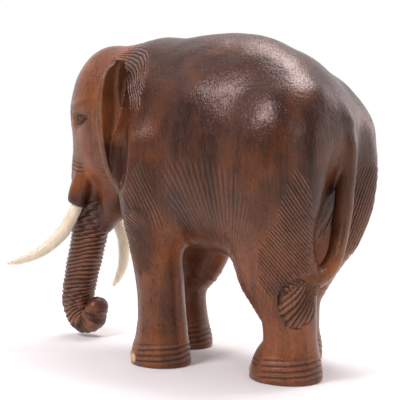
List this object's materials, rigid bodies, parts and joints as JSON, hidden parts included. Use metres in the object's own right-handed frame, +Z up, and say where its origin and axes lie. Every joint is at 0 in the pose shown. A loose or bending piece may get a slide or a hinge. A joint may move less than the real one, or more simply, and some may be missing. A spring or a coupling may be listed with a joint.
{
  "type": "elephant figurine",
  "caption": "Standing carved wooden elephant with a curled trunk, flared ears, gouged hide folds, a tail that curls onto one hind leg, and pale plug-in tusks.",
  "frame": {"origin": "centre of the outline, at the height of the soles", "axes": "+X is the elephant's left, -Y is the way it faces, +Z is up"},
  "size_m": [0.1104, 0.245, 0.2153],
  "materials": {
    "wood": "oiled and polished dark red-brown hardwood",
    "tusk": "smooth cream, satin",
    "nail": "smooth cream, satin"
  },
  "bodies": {
    "carving": {"elephant_body": "wood", "nail_left_fore_1": "nail", "nail_left_fore_2": "nail", "nail_left_fore_3": "nail", "nail_left_fore_4": "nail", "nail_right_fore_1": "nail", "nail_right_fore_2": "nail", "nail_right_fore_3": "nail", "nail_right_fore_4": "nail", "nail_left_hind_1": "nail", "nail_left_hind_2": "nail", "nail_left_hind_3": "nail", "nail_right_hind_1": "nail", "nail_right_hind_2": "nail", "nail_right_hind_3": "nail"},
    "tusk_left": {"tusk_left": "tusk"},
    "tusk_right": {"tusk_right": "tusk"}
  },
  "joints": [
    {"name": "tusk_left_pull", "type": "slide", "parent": "carving", "child": "tusk_left", "axis": [0.1562, -0.3124, -0.937], "range_m": [0, 0.015]},
    {"name": "tusk_right_pull", "type": "slide", "parent": "carving", "child": "tusk_right", "axis": [-0.2746, -0.1961, -0.9414], "range_m": [0, 0.015]}
  ]
}
